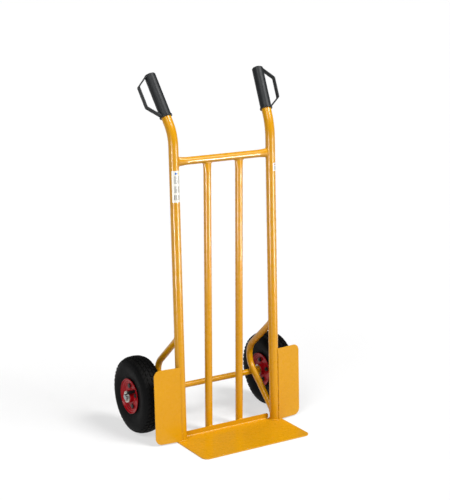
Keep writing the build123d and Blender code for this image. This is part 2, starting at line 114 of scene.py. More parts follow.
# ---------------------------------------------------------------- node and mesh helpers
def linear(colour: str) -> Colour:
    """Turns an sRGB hex colour into linear RGBA."""
    parts = [int(colour[i : i + 2], 16) / 255 for i in (1, 3, 5)]
    flat = [c / 12.92 if c <= 0.04045 else ((c + 0.055) / 1.055) ** 2.4 for c in parts]
    return (flat[0], flat[1], flat[2], 1.0)


def per_mm(size: float) -> float:
    """Texture scale, per metre, that repeats once in a size given in mm."""
    return 1.0 / (size * MM)


def circle(count: int) -> list[Pair]:
    """Cosine and sine of evenly spaced angles, once round."""
    angles = [2 * math.pi * n / count for n in range(count)]
    return [(math.cos(angle), math.sin(angle)) for angle in angles]


def measure(corners: Path) -> list[float]:
    """Distance of each corner from the start of a bent line."""
    return [0.0, *accumulate((b - a).length for a, b in zip(corners, corners[1:]))]


def find_leg(lengths: Sequence[float], reach: float) -> tuple[int, float]:
    """Leg of a bent line that a distance falls in, and the share of that leg it covers."""
    leg = min(max(bisect_left(lengths, reach) - 1, 0), len(lengths) - 2)
    span = lengths[leg + 1] - lengths[leg]
    return leg, (reach - lengths[leg]) / span if span > 0 else 0.0


def quads(here: Sequence[int], there: Sequence[int]) -> Faces:
    """Faces between two rows of as many vertices."""
    pairs = list(zip(here, there))
    return [(a, b, d, c) for (a, c), (b, d) in zip(pairs, pairs[1:])]


def loop(first: int, count: int, shift: int = 0) -> list[int]:
    """Vertex numbers once round a ring and back to its start."""
    return [first + (n + shift) % count for n in range(count + 1)]


def add_node(
    tree: Tree, kind: str, sockets: Sockets | None = None, **settings: object
) -> bpy.types.Node:
    """Adds a shader node with its settings, values and links.

    Args:
        tree: Node tree that the node goes into.
        kind: Node type, without its ShaderNode prefix.
        sockets: Input name or number, with the value or the output socket that feeds it.
        **settings: Properties of the node, set before its inputs.

    Returns:
        The new node.
    """
    node = tree.nodes.new("ShaderNode" + kind)
    for name, value in settings.items():
        setattr(node, name, value)
    for name, value in (sockets or {}).items():
        if isinstance(value, Socket):
            tree.links.new(value, node.inputs[name])
        else:
            node.inputs[name].default_value = value
    return node


def make_piece(
    name: str, points: Sequence[Vector], faces: Sequence[Sequence[int]], sharp_angle: float = 40.0
) -> Piece:
    """Makes a mesh object from points in the shared frame.

    Args:
        name: Object name.
        points: Vertices, in metres.
        faces: Vertex numbers of each face.
        sharp_angle: Edges bent by more than this many degrees stay crisp.

    Returns:
        The linked object, smooth shaded.
    """
    mesh = bpy.data.meshes.new(name)
    mesh.from_pydata(points, [], faces)
    mesh.validate()
    mesh.polygons.foreach_set("use_smooth", [True] * len(mesh.polygons))
    mesh.set_sharp_from_angle(angle=math.radians(sharp_angle))
    mesh.update()
    piece = bpy.data.objects.new(name, mesh)
    bpy.context.scene.collection.objects.link(piece)
    return piece


def dress(piece: Piece, finish: Finish) -> None:
    """Gives an object one finish, on all its faces."""
    slots = piece.data.materials
    if not slots:
        slots.append(finish.material())
    for number in range(len(slots)):
        slots[number] = finish.material()


# ---------------------------------------------------------------- finishes
class Grain(Enum):
    """Shapes of a fine relief: the texture that draws it, and its output with the height."""

    CLOUDS = ("TexNoise", "Fac")
    CELLS = ("TexVoronoi", "Distance")


@dataclass(frozen=True)
class Finish:
    """What a surface is made of and how it was made. Sizes are in mm.

    Its colour drifts between two shades, its edges are rubbed to a third, and a fine relief
    gives its grain. Each finish adds what only it has.
    """

    name: str
    slot: str
    colour: str
    drift_colour: str
    drift_size: float
    roughness: Pair  # where the drift is lowest and where it is highest
    drift_detail: float = 4.0
    rubbed_colour: str = ""  # empty where rubbed edges don't show
    rubbed_reach: float = 1.0  # how far the rubbing reaches from an edge
    rubbed_patch: float = 10.0  # length of one rubbed patch
    rubbed_share: float = 1.0
    rubbed_bend: Pair = (0.995, 0.9)  # cosines of the bend where rubbing starts and is full
    rubbed_gaps: Pair = (0.42, 0.62)  # the same for the clouds that break it into patches
    grain: Grain = Grain.CLOUDS
    grain_size: float = 2.0
    grain_detail: float = 0.0
    grain_strength: float = 0.2
    grain_depth: float = 0.1
    sunken: bool = False
    fixed: Fixed = ()

    def material(self) -> bpy.types.Material:
        """Makes the material the first time, and hands back the same one after that."""
        known = bpy.data.materials.get(self.name)
        if known is not None:
            return known
        material = bpy.data.materials.new(self.name)
        material.use_nodes = True
        tree = material.node_tree
        tree.nodes.clear()
        place = add_node(tree, "TexCoord").outputs["Object"]
        shader = add_node(tree, "BsdfPrincipled", self.paint(tree, place))
        add_node(tree, "OutputMaterial", {"Surface": shader.outputs["BSDF"]})
        return material

    def paint(self, tree: Tree, place: Socket) -> Sockets:
        """Adds the finish's nodes.

        Args:
            tree: Node tree of the material.
            place: Position on the object, in metres.

        Returns:
            Values and sockets for the shader.
        """
        clouds = {
            "Vector": place, "Scale": per_mm(self.drift_size), "Detail": self.drift_detail
        }
        drift = add_node(tree, "TexNoise", clouds).outputs["Fac"]
        shades = {0: drift, 6: linear(self.colour), 7: linear(self.drift_colour)}
        colour = add_node(tree, "Mix", shades, data_type="RGBA").outputs[2]
        if self.rubbed_colour:
            worn = {0: self.edge_mask(tree, place), 6: colour, 7: linear(self.rubbed_colour)}
            colour = add_node(tree, "Mix", worn, data_type="RGBA").outputs[2]
        relief = {
            "Height": self.height(tree, place),
            "Strength": self.grain_strength,
            "Distance": self.grain_depth * MM,
        }
        skin = add_node(tree, "Bump", relief, invert=self.sunken)
        sockets: Sockets = {
            "Base Color": self.cover(tree, place, drift, colour),
            "Roughness": self.gloss(tree, place, drift),
            "Normal": skin.outputs["Normal"],
        }
        sockets.update(self.fixed)
        return sockets

    def cover(self, tree: Tree, place: Socket, drift: Socket, under: Socket) -> Socket:
        """Lays what only this finish has, such as dust or print, over its colour.

        Args:
            tree: Node tree of the material.
            place: Position on the object, in metres.
            drift: Drift between the two shades.
            under: Colour so far.

        Returns:
            Socket with the final colour.
        """
        return under

    def gloss(self, tree: Tree, place: Socket, drift: Socket) -> Socket:
        """Lets the roughness follow the colour's drift."""
        low, high = self.roughness
        span = {"Value": drift, "To Min": low, "To Max": high}
        return add_node(tree, "MapRange", span).outputs["Result"]

    def height(self, tree: Tree, place: Socket) -> Socket:
        """Draws the relief."""
        kind, output = self.grain.value
        size = {"Vector": place, "Scale": per_mm(self.grain_size), "Detail": self.grain_detail}
        return add_node(tree, kind, size).outputs[output]

    def edge_mask(self, tree: Tree, place: Socket) -> Socket:
        """Marks the edges that handling has rubbed, by how far a rounded normal turns there."""
        rounded = add_node(tree, "Bevel", {"Radius": self.rubbed_reach * MM}, samples=4)
        true_face = add_node(tree, "NewGeometry").outputs["Normal"]
        pair = {0: rounded.outputs["Normal"], 1: true_face}
        turn = add_node(tree, "VectorMath", pair, operation="DOT_PRODUCT").outputs["Value"]
        start, full = self.rubbed_bend
        bend = add_node(tree, "MapRange", {"Value": turn, "From Min": start, "From Max": full})
        clouds = {"Vector": place, "Scale": per_mm(self.rubbed_patch), "Detail": 3.0}
        spots = add_node(tree, "TexNoise", clouds).outputs["Fac"]
        start, full = self.rubbed_gaps
        span = {"Value": spots, "From Min": start, "From Max": full, "To Max": self.rubbed_share}
        shown = add_node(tree, "MapRange", span)
        both = {0: bend.outputs["Result"], 1: shown.outputs["Result"]}
        return add_node(tree, "Math", both, operation="MULTIPLY").outputs["Value"]


def wheel_radius(tree: Tree, place: Socket) -> Socket:
    """Distance from the axle's centre line, which runs along X, in metres."""
    shift = {0: place, 1: (0.0, AXLE_Y * MM, AXLE_Z * MM)}
    centred = add_node(tree, "VectorMath", shift, operation="SUBTRACT").outputs["Vector"]
    flat = {0: centred, 1: (0.0, 1.0, 1.0)}
    across = add_node(tree, "VectorMath", flat, operation="MULTIPLY").outputs["Vector"]
    return add_node(tree, "VectorMath", {0: across}, operation="LENGTH").outputs["Value"]


@dataclass(frozen=True)
class PowderCoatedSteel(Finish):
    """Golden yellow polyester powder coat baked onto welded steel.

    The eye gets a deep warm yellow with a soft gloss, a faint orange peel in the highlights,
    a paler, thinner coat along edges that knock against things, and floor dust low down.
    """

    name: str = "powder_coated_steel"
    slot: str = "frame_powder_coat"
    colour: str = "#C88E00"
    drift_colour: str = "#BF8400"
    drift_size: float = 120.0
    roughness: Pair = (0.22, 0.37)
    rubbed_colour: str = "#D29A2A"
    rubbed_patch: float = 14.0
    rubbed_share: float = 0.45
    grain_size: float = 3.0  # real orange peel is 1 to 2 mm, drawn coarser so that it shows
    grain_detail: float = 1.0
    grain_strength: float = 0.12
    grain_depth: float = 0.06
    fixed: Fixed = (
        ("IOR", 1.5), ("Specular IOR Level", 0.24), ("Coat Weight", 0.12), ("Coat Roughness", 0.1)
    )
    dust_colour: str = "#94713C"
    dust_height: float = 45.0
    dust_share: float = 0.16
    handling_size: float = 18.0
    handling_span: Pair = (0.3, 0.75)  # clouds where the coat is glossiest and dullest

    def cover(self, tree: Tree, place: Socket, drift: Socket, under: Socket) -> Socket:
        """Lays floor dust over the lowest part."""
        low = {
            "Value": add_node(tree, "SeparateXYZ", {"Vector": place}).outputs["Z"],
            "From Max": self.dust_height * MM,
            "To Min": self.dust_share,
            "To Max": 0.0,
        }
        both = {0: add_node(tree, "MapRange", low).outputs["Result"], 1: drift}
        dusty = add_node(tree, "Math", both, operation="MULTIPLY").outputs["Value"]
        layers = {0: dusty, 6: under, 7: linear(self.dust_colour)}
        return add_node(tree, "Mix", layers, data_type="RGBA").outputs[2]

    def gloss(self, tree: Tree, place: Socket, drift: Socket) -> Socket:
        """Lets the roughness follow where hands have been."""
        clouds = {"Vector": place, "Scale": per_mm(self.handling_size), "Detail": 6.0}
        handled = add_node(tree, "TexNoise", clouds).outputs["Fac"]
        (start, end), (low, high) = self.handling_span, self.roughness
        span = {
            "Value": handled, "From Min": start, "From Max": end, "To Min": low, "To Max": high
        }
        return add_node(tree, "MapRange", span).outputs["Result"]


@dataclass(frozen=True)
class PartCoatedAxle(PowderCoatedSteel):
    """Axle powder coated with the frame between its collars, and bare ground steel beyond.

    The eye gets the frame's yellow between the uprights and a grey oiled metal in the hubs.
    """

    name: str = "part_coated_axle_steel"
    fixed: Fixed = (("IOR", 1.5), ("Specular IOR Level", 0.24), ("Coat Roughness", 0.1))
    bare_colour: str = "#8F9193"
    bare_from: float = 212.0
    bare_blend: float = 0.3

    def paint(self, tree: Tree, place: Socket) -> Sockets:
        """Adds the bare ends to the powder coat."""
        sockets = super().paint(tree, place)
        split = add_node(tree, "SeparateXYZ", {"Vector": place})
        reach = add_node(tree, "Math", {0: split.outputs["X"]}, operation="ABSOLUTE")
        ends = {
            "Value": reach.outputs["Value"],
            "From Min": (self.bare_from - self.bare_blend) * MM,
            "From Max": (self.bare_from + self.bare_blend) * MM,
        }
        bare = add_node(tree, "MapRange", ends).outputs["Result"]
        layers = {0: bare, 6: sockets["Base Color"], 7: linear(self.bare_colour)}
        sockets["Base Color"] = add_node(tree, "Mix", layers, data_type="RGBA").outputs[2]
        sockets["Metallic"] = bare
        return sockets


@dataclass(frozen=True)
class PhosphatedSteel(Finish):
    """Black manganese phosphate over cold-headed bolts and nuts, wiped with oil.

    The eye gets a near-black matt crystal with an oily glint and bare steel on the corners.
    """

    name: str = "black_phosphated_steel"
    slot: str = "black_steel"
    colour: str = "#2A2423"
    drift_colour: str = "#3A3432"
    drift_size: float = 5.0
    roughness: Pair = (0.34, 0.6)
    rubbed_colour: str = "#77736F"
    rubbed_reach: float = 0.4
    rubbed_patch: float = 3.0
    grain: Grain = Grain.CELLS
    grain_size: float = 0.9  # crystals are about 0.05 mm, drawn coarser so that they show
    grain_strength: float = 0.25
    grain_depth: float = 0.08
    fixed: Fixed = (("Metallic", 0.6),)


@dataclass(frozen=True)
class RimEnamel(Finish):
    """Stoved red enamel over pressed rim halves.

    The eye gets a wet, even red with slow sags in the gloss, and paler thin edges.
    """

    name: str = "stoved_red_enamel"
    slot: str = "rim_enamel"
    colour: str = "#A20614"
    drift_colour: str = "#8A040F"
    drift_size: float = 35.0
    roughness: Pair = (0.2, 0.36)
    drift_detail: float = 3.0
    rubbed_colour: str = "#B01C28"
    rubbed_reach: float = 0.8
    rubbed_patch: float = 9.0
    rubbed_share: float = 0.5
    grain_size: float = 7.0
    grain_detail: float = 2.0
    grain_strength: float = 0.35
    grain_depth: float = 0.2
    fixed: Fixed = (
        ("IOR", 1.5), ("Specular IOR Level", 0.15), ("Coat Weight", 0.05), ("Coat Roughness", 0.08)
    )


@dataclass(frozen=True)
class ZincPlatedSteel(Finish):
    """Bright zinc electroplate over turned and pressed steel.

    The eye gets a cool grey metal with a faint straw cast in patches, fine tool lines, and
    brighter steel where corners have rubbed.
    """

    name: str = "zinc_plated_steel"
    slot: str = "zinc_plate"
    colour: str = "#A3A7AB"
    drift_colour: str = "#CFC8B4"
    drift_size: float = 6.0
    roughness: Pair = (0.26, 0.46)
    rubbed_colour: str = "#C6C8CA"
    rubbed_reach: float = 0.5
    rubbed_patch: float = 4.0
    grain_size: float = 0.9  # tool lines are about 0.2 mm apart, drawn coarser so that they show
    grain_depth: float = 0.05
    fixed: Fixed = (("Metallic", 1.0),)

    def height(self, tree: Tree, place: Socket) -> Socket:
        """Draws the tool lines."""
        turning = {"Vector": place, "Scale": per_mm(self.grain_size) / 10, "Distortion": 1.5}
        lines = add_node(tree, "TexWave", turning, wave_type="RINGS", rings_direction="X")
        return lines.outputs["Fac"]


@dataclass(frozen=True)
class GroundBearingSteel(Finish):
    """Ground bearing races and pressed steel shields.

    The eye gets a bright metal with concentric grinding rings and a film of grease.
    """

    name: str = "ground_bearing_steel"
    slot: str = "bearing_steel"
    colour: str = "#C9CACB"
    drift_colour: str = "#C9CACB"
    drift_size: float = 5.0
    roughness: Pair = (0.18, 0.4)
    drift_detail: float = 5.0
    grain_size: float = 0.8
    grain_strength: float = 0.15
    grain_depth: float = 0.02
    fixed: Fixed = (("Metallic", 1.0),)
    grease_colour: str = "#8D8672"
    grease_share: float = 0.6

    def cover(self, tree: Tree, place: Socket, drift: Socket, under: Socket) -> Socket:
        """Smears grease over the metal."""
        span = {"Value": drift, "From Min": 0.45, "From Max": 0.8, "To Max": self.grease_share}
        film = add_node(tree, "MapRange", span).outputs["Result"]
        layers = {0: film, 6: under, 7: linear(self.grease_colour)}
        return add_node(tree, "Mix", layers, data_type="RGBA").outputs[2]

    def height(self, tree: Tree, place: Socket) -> Socket:
        """Draws the grinding rings round the axle."""
        radius = wheel_radius(tree, place)
        phase = {0: radius, 1: per_mm(self.grain_size) * 2 * math.pi}
        turns = add_node(tree, "Math", phase, operation="MULTIPLY").outputs["Value"]
        return add_node(tree, "Math", {0: turns}, operation="SINE").outputs["Value"]


@dataclass(frozen=True)
class MouldedRubber(Finish):
    """Vulcanised black rubber, pressed in a steel mould.

    The eye gets a soft charcoal black with a fine matt grain and a slight bloom in patches.
    """

    name: str = "butyl_tube_rubber"
    slot: str = "butyl_rubber"
    colour: str = "#070708"
    drift_colour: str = "#0E0E0E"
    drift_size: float = 28.0
    roughness: Pair = (0.38, 0.64)
    drift_detail: float = 5.0
    grain_size: float = 1.6  # mould grain is about 0.4 mm, drawn coarser so that it shows
    grain_detail: float = 3.0
    grain_strength: float = 0.4
    grain_depth: float = 0.15
    fixed: Fixed = (("IOR", 1.52), ("Specular IOR Level", 0.06))


@dataclass(frozen=True)
class TreadRubber(MouldedRubber):
    """Tyre rubber, vulcanised in a tread mould.

    The eye gets the rubber's charcoal black, and pale dust caught low between the lugs.
    """

    name: str = "vulcanised_tyre_rubber"
    slot: str = "tyre_rubber"
    roughness: Pair = (0.46, 0.72)
    dust_colour: str = "#2A2721"
    dust_share: float = 0.12
    groove: Pair = (121.0, 124.0)  # radii where dust starts and is thickest
    lug_top: Pair = (126.5, 129.0)  # radii where it starts to wear off, and has
    left_on_top: float = 0.25

    def cover(self, tree: Tree, place: Socket, drift: Socket, under: Socket) -> Socket:
        """Lays dust in the tread."""
        radius = wheel_radius(tree, place)
        caught = drift
        for (start, end), low, high in (
            (self.groove, 0.0, self.dust_share),
            (self.lug_top, 1.0, self.left_on_top),
        ):
            span = {
                "Value": radius,
                "From Min": start * MM,
                "From Max": end * MM,
                "To Min": low,
                "To Max": high,
            }
            both = {0: caught, 1: add_node(tree, "MapRange", span).outputs["Result"]}
            caught = add_node(tree, "Math", both, operation="MULTIPLY").outputs["Value"]
        layers = {0: caught, 6: under, 7: linear(self.dust_colour)}
        return add_node(tree, "Mix", layers, data_type="RGBA").outputs[2]


@dataclass(frozen=True)
class SparkGrainedPlastic(Finish):
    """Black polypropylene, moulded against a spark-eroded tool.

    The eye gets a dark slate grey with a pebbled satin grain, polished on rubbed edges.
    """

    name: str = "spark_grained_plastic"
    slot: str = "grip_plastic"
    colour: str = "#131517"
    drift_colour: str = "#1B1E20"
    drift_size: float = 40.0
    roughness: Pair = (0.38, 0.58)
    rubbed_colour: str = "#2C3032"
    rubbed_reach: float = 1.2
    rubbed_share: float = 0.6
    grain: Grain = Grain.CELLS
    grain_size: float = 1.8  # the mould's grain is about 0.3 mm, drawn coarser so that it shows
    grain_strength: float = 0.45
    grain_depth: float = 0.25
    sunken: bool = True
    fixed: Fixed = (("IOR", 1.49), ("Specular IOR Level", 0.25))


class Print(Enum):
    """Kinds of printed area on a label."""

    SOLID = "solid"
    ROWS = "rows"
    BARS = "bars"


@dataclass(frozen=True)
class PrintedArea:
    """One rectangle of generic print, placed in mm from the label's middle."""

    kind: Print
    colour: str
    middle: Pair
    half: Pair
    pitch: float = 2.0
    row_limit: float = 0.1  # the wave's height above which a row has ink
    bar_limit: float = 0.5  # the same for the noise that draws bars

    def mask(self, tree: Tree, split: bpy.types.Node, label: Pair) -> Socket:
        """Marks where this area lays ink.

        Args:
            tree: Node tree of the material.
            split: Node that gives the position's X and Z.
            label: Middle of the label.

        Returns:
            Socket that is 1 under ink.
        """
        limits: list[Socket] = []
        for number, axis in enumerate(("X", "Z")):
            inside = {
                0: split.outputs[axis],
                1: (label[number] + self.middle[number]) * MM,
                2: self.half[number] * MM,
            }
            limits.append(add_node(tree, "Math", inside, operation="COMPARE").outputs["Value"])
        if self.kind is Print.ROWS:
            phase = {0: split.outputs["Z"], 1: per_mm(self.pitch) * 2 * math.pi}
            turns = add_node(tree, "Math", phase, operation="MULTIPLY").outputs["Value"]
            wave = add_node(tree, "Math", {0: turns}, operation="SINE").outputs["Value"]
            row = add_node(tree, "Math", {0: wave, 1: self.row_limit}, operation="GREATER_THAN")
            limits.append(row.outputs["Value"])
        if self.kind is Print.BARS:
            spot = add_node(tree, "CombineXYZ", {"X": split.outputs["X"]}).outputs["Vector"]
            bars = {"Vector": spot, "Scale": per_mm(self.pitch), "Detail": 0.0}
            cloud = add_node(tree, "TexNoise", bars).outputs["Fac"]
            bar = add_node(tree, "Math", {0: cloud, 1: self.bar_limit}, operation="GREATER_THAN")
            limits.append(bar.outputs["Value"])
        ink = limits[0]
        for limit in limits[1:]:
            both = {0: ink, 1: limit}
            ink = add_node(tree, "Math", both, operation="MULTIPLY").outputs["Value"]
        return ink


@dataclass(frozen=True)
class PrintedVinyl(Finish):
    """White vinyl film with generic print, stuck round the tube.

    The eye gets a smooth satin white with a slight yellowing, and blocks of plain print.
    """

    name: str = "printed_vinyl"
    slot: str = "label_vinyl"
    colour: str = "#DAD9D2"
    drift_colour: str = "#CFCCBE"
    drift_size: float = 30.0
    roughness: Pair = (0.3, 0.45)
    grain_size: float = 9.0
    grain_detail: float = 2.0
    fixed: Fixed = (("IOR", 1.5),)
    middle: Pair = (0.0, 0.0)
    areas: tuple[PrintedArea, ...] = ()

    def cover(self, tree: Tree, place: Socket, drift: Socket, under: Socket) -> Socket:
        """Prints each area on the film."""
        split = add_node(tree, "SeparateXYZ", {"Vector": place})
        for area in self.areas:
            ink = area.mask(tree, split, self.middle)
            layers = {0: ink, 6: under, 7: linear(area.colour)}
            under = add_node(tree, "Mix", layers, data_type="RGBA").outputs[2]
        return under


@dataclass(frozen=True)
class PaleFloor(Finish):
    """Opal acrylic floor of a light table: matt white with an even glow from below."""

    name: str = "opal_acrylic_floor"
    slot: str = ""
    colour: str = "#979797"
    drift_colour: str = "#949494"
    drift_size: float = 400.0
    roughness: Pair = (0.9, 0.9)
    glow: float = 0.58

    def paint(self, tree: Tree, place: Socket) -> Sockets:
        """Adds a faint drift in the white."""
        clouds = {"Vector": place, "Scale": per_mm(self.drift_size)}
        drift = add_node(tree, "TexNoise", clouds).outputs["Fac"]
        shades = {0: drift, 6: linear(self.colour), 7: linear(self.drift_colour)}
        return {
            "Base Color": add_node(tree, "Mix", shades, data_type="RGBA").outputs[2],
            "Roughness": self.roughness[0],
            "Specular IOR Level": 0.1,
            "Emission Color": (1.0, 1.0, 1.0, 1.0),
            "Emission Strength": self.glow,
        }


# ---------------------------------------------------------------- weld beads
@dataclass(frozen=True)
class WeldBead:
    """One run of weld: a rounded bead with the ripples that the torch leaves."""

    name: str
    path: Path
    closed: bool = False
    radius: float = 2.4
    ripple: float = 2.4
    step: float = 0.6
    sides: int = 10
    valley: float = 0.84  # share of the radius left between two ripples
    wander: float = 0.08  # share by which the radius wanders
    wander_rate: float = 0.12  # how often it does, in cells of noise for each mm
    wander_seed: float = 90.0  # sets runs that start at another X apart
    crater: float = 1.4  # length of each end's rounding, in radii
    blunt: float = 0.02  # square of the share of the radius left at the very end
    first_up: Triple = (0.31, 0.17, 0.94)  # along none of the runs

    def stations(self) -> list[tuple[Vector, float]]:
        """Evenly spaced points along the run, with the distance to each, in mm."""
        corners = [p / MM for p in self.path]
        if self.closed:
            corners.append(corners[0])
        lengths = measure(corners)
        count = max(4, round(lengths[-1] / self.step))
        found: list[tuple[Vector, float]] = []
        for number in range(count if self.closed else count + 1):
            along = lengths[-1] * number / count
            leg, share = find_leg(lengths, along)
            found.append((corners[leg].lerp(corners[leg + 1], share), along))
        return found

    def swell(self, along: float, total: float) -> float:
        """The bead's radius at a distance along its run, in mm."""
        phase = (along / self.ripple) % 1.0
        swell = self.valley + (1 - self.valley) * math.sqrt(max(0.0, math.sin(math.pi * phase)))
        seed = Vector((along * self.wander_rate, self.path[0].x * self.wander_seed, 0.0))
        size = self.radius * swell * (1.0 + self.wander * noise.noise(seed))
        if self.closed:
            return size
        end = min(along, total - along) / (self.crater * self.radius)
        return size * math.sqrt(max(self.blunt, 1.0 - (1.0 - min(1.0, end)) ** 2))

    def build(self, finish: Finish) -> None:
        """Makes the bead, riding on the frame."""
        stations = self.stations()
        count = len(stations)
        total = stations[-1][1]
        points: Path = []
        faces: Faces = []
        up = Vector(self.first_up)
        for number, (middle, along) in enumerate(stations):
            before = stations[(number - 1) % count if self.closed else max(0, number - 1)][0]
            after = stations[(number + 1) % count if self.closed else min(count - 1, number + 1)][0]
            tangent = (after - before).normalized()
            up = (up - tangent * up.dot(tangent)).normalized()
            side = tangent.cross(up)
            size = self.swell(along, total)
            for cos, sin in circle(self.sides):
                points.append((middle + (up * cos + side * sin) * size) * MM)
        rings = count if self.closed else count - 1
        twist = self.closing_turn(points, count) if self.closed else 0
        for number in range(rings):
            shift = twist if number == count - 1 else 0
            there = loop((number + 1) % count * self.sides, self.sides, shift)
            faces += quads(loop(number * self.sides, self.sides), there)
        if not self.closed:
            faces.append(tuple(reversed(range(self.sides))))
            faces.append(tuple(range((count - 1) * self.sides, count * self.sides)))
        piece = make_piece(self.name, points, faces, sharp_angle=80.0)
        dress(piece, finish)
        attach(piece, "root")
        LOG.info("built %s", self.name)

    def closing_turn(self, points: Path, count: int) -> int:
        """How many sides the last ring is turned against the first one."""
        last = points[(count - 1) * self.sides]
        gaps = [(points[turn] - last).length for turn in range(self.sides)]
        return gaps.index(min(gaps))


@dataclass
class Frame:
    """Welded tube frame with its toe plate and wheel guard plates. Sizes are in mm."""

    upright_x: float = 182.5
    upright_radius: float = 16.0
    lean: float = math.radians(2.4)
    cross_z: float = 922.0
    cross_radius: float = 12.5
    pinch_tall: float = 15.5
    pinch_deep: float = 8.5
    inner_x: float = 60.0
    flange_back: float = 20.0
    flange_top: float = 21.0
    sheet: float = 4.0
    stay_radius: float = 11.0
    stay_vertex: Pair = (191.5, 195.03)
    stay_upper: float = math.radians(41.6)
    stay_lower: float = math.radians(42.1)
    plate_contact: float = math.radians(32.0)
    plate_sweep: float = math.radians(6.8)
    plate_top: float = 255.0
    axle_radius: float = 10.0
    collar_x: float = 205.9
    stand_off: float = 0.4  # from the steel to the middle of a bead between two tubes
    fillet: float = 0.9  # the same for a bead in a square corner
    collar_off: float = 0.8  # the same at the collar, out from the axle
    collar_gap: float = 0.6  # and inboard from the collar's face
    ring_points: int = 60
    small_ring_points: int = 40
    crotch: float = 8.0  # radius of the bead between axle and stay
    finish: Finish = field(default_factory=PowderCoatedSteel)
    axle_finish: Finish = field(default_factory=PartCoatedAxle)
    nodes: tuple[str, ...] = ("top_cross_tube", "toe_plate")
    paired_nodes: tuple[str, ...] = (
        "upright", "inner_upright", "axle_stay", "wheel_guard_plate", "axle_collar"
    )

    def dress(self, nodes: dict[str, Piece]) -> None:
        """Powder coats every steel piece of the frame."""
        names = list(self.nodes)
        names += [f"{name}_{side.word}" for name in self.paired_nodes for side in Side]
        for name in names:
            dress(nodes[name], self.finish)
            LOG.info("dressed %s", name)
        dress(nodes["axle"], self.axle_finish)
        LOG.info("dressed axle")

    def off_axis(self, y: float, z: float) -> float:
        """Distance behind the upright's axis, square to it, of a point in its plane."""
        return y * math.cos(self.lean) - z * math.sin(self.lean)

    def on_upright(self, height: float, turn: float, reach: float) -> Triple:
        """Point beside the right upright.

        Args:
            height: Height of the point on the upright's axis.
            turn: Angle outward from the front of the tube, in radians.
            reach: Distance from the tube's axis.

        Returns:
            The point's x, y and z, in mm.
        """
        forward = reach * math.cos(turn)
        x = self.upright_x + reach * math.sin(turn)
        y = height * math.tan(self.lean) - forward * math.cos(self.lean)
        return (x, y, height + forward * math.sin(self.lean))

    def foot_run(self, side: Side) -> Path:
        """Ring round the upright's foot, on the toe plate."""
        reach = self.upright_radius + self.fillet
        x, y, z = self.upright_x, 0.3, self.sheet + self.fillet
        ring = circle(self.ring_points)
        return [side.place(x + reach * cos, y + reach * sin, z) for cos, sin in ring]

    def cross_tube_run(self, side: Side) -> Path:
        """Ring where the squeezed end of the cross tube meets the upright."""
        middle_y = self.cross_z * math.tan(self.lean)
        run: Path = []
        for cos, sin in circle(self.ring_points):
            y = middle_y + (self.pinch_deep + self.stand_off) * cos
            z = self.cross_z + (self.pinch_tall + self.stand_off) * sin
            around = self.upright_radius + self.stand_off
            reach = math.sqrt(around**2 - self.off_axis(y, z) ** 2)
            run.append(side.place(self.upright_x - reach, y, z))
        return run

    def inner_top_run(self, side: Side) -> Path:
        """Ring where an inner upright meets the cross tube from below."""
        middle_y = self.cross_z * math.tan(self.lean)
        run: Path = []
        for cos, sin in circle(self.ring_points):
            back = (self.pinch_deep + self.stand_off) * sin
            x = self.inner_x + (self.pinch_tall + self.stand_off) * cos
            drop = math.sqrt((self.cross_radius + self.stand_off) ** 2 - back**2)
            run.append(side.place(x, middle_y + back, self.cross_z - drop))
        return run

    def stay_run(self, side: Side, rise: float) -> Path:
        """Ring where one arm of the stay meets the upright.

        Args:
            side: Side of the truck.
            rise: The arm's slope from its bend to the upright, up positive, in radians.

        Returns:
            Points of the ring.
        """
        toward = (-math.cos(rise), math.sin(rise))
        normal = (math.sin(rise), math.cos(rise))
        run: Path = []
        for cos, sin in circle(self.ring_points):
            across = (self.stay_radius + self.stand_off) * cos
            lift = (self.stay_radius + self.stand_off) * sin
            y = self.stay_vertex[0] + normal[0] * lift
            z = self.stay_vertex[1] + normal[1] * lift
            target = math.sqrt((self.upright_radius + self.stand_off) ** 2 - across**2)
            along = (target - self.off_axis(y, z)) / self.off_axis(*toward)
            end = (y + toward[0] * along, z + toward[1] * along)
            run.append(side.place(self.upright_x + across, *end))
        return run

    def axle_run(self, side: Side) -> Path:
        """Ring in the crotch between the axle and the stay's lower arm."""
        cos_fall, sin_fall = math.cos(self.stay_lower), math.sin(self.stay_lower)
        run: Path = []
        for cos, sin in circle(self.small_ring_points):
            along = self.crotch * sin
            y = AXLE_Y - self.axle_radius * sin_fall - along * cos_fall
            z = AXLE_Z + self.axle_radius * cos_fall - along * sin_fall
            run.append(side.place(self.upright_x + self.crotch * cos, y, z))
        return run

    def collar_run(self, side: Side) -> Path:
        """Ring between the axle and the inboard face of its collar."""
        reach = self.axle_radius + self.collar_off
        x = self.collar_x - self.collar_gap
        return [
            side.place(x, AXLE_Y + reach * cos, AXLE_Z + reach * sin)
            for cos, sin in circle(self.small_ring_points)
        ]

    def plate_run(self, side: Side, low: float, high: float, front: bool) -> Path:
        """Stitch between the guard plate's inner edge and the upright.

        Args:
            side: Side of the truck.
            low: Height of the stitch's lower end.
            high: Height of its upper end.
            front: In front of the plate, and otherwise behind it.

        Returns:
            Points of the stitch.
        """
        turn, gap = (-4.5, 1.2) if front else (10.0, 0.9)  # degrees past the plate, mm off the tube
        turn, reach = self.plate_contact + math.radians(turn), self.upright_radius + gap
        heights = [low + (high - low) * n / 12 for n in range(13)]
        return [side.place(*self.on_upright(h, turn, reach)) for h in heights]

    def plate_foot_run(self, side: Side) -> Path:
        """Short run where the guard plate's lower edge stands on the toe plate."""
        x, y, _ = self.on_upright(self.sheet + 0.8, self.plate_contact, self.upright_radius)
        cos, sin = math.cos(self.plate_sweep), math.sin(self.plate_sweep)
        reaches = [1.0 + 11.5 * n / 7 for n in range(8)]
        return [side.place(x + r * cos, y + r * sin - 3.4, self.sheet + 0.7) for r in reaches]

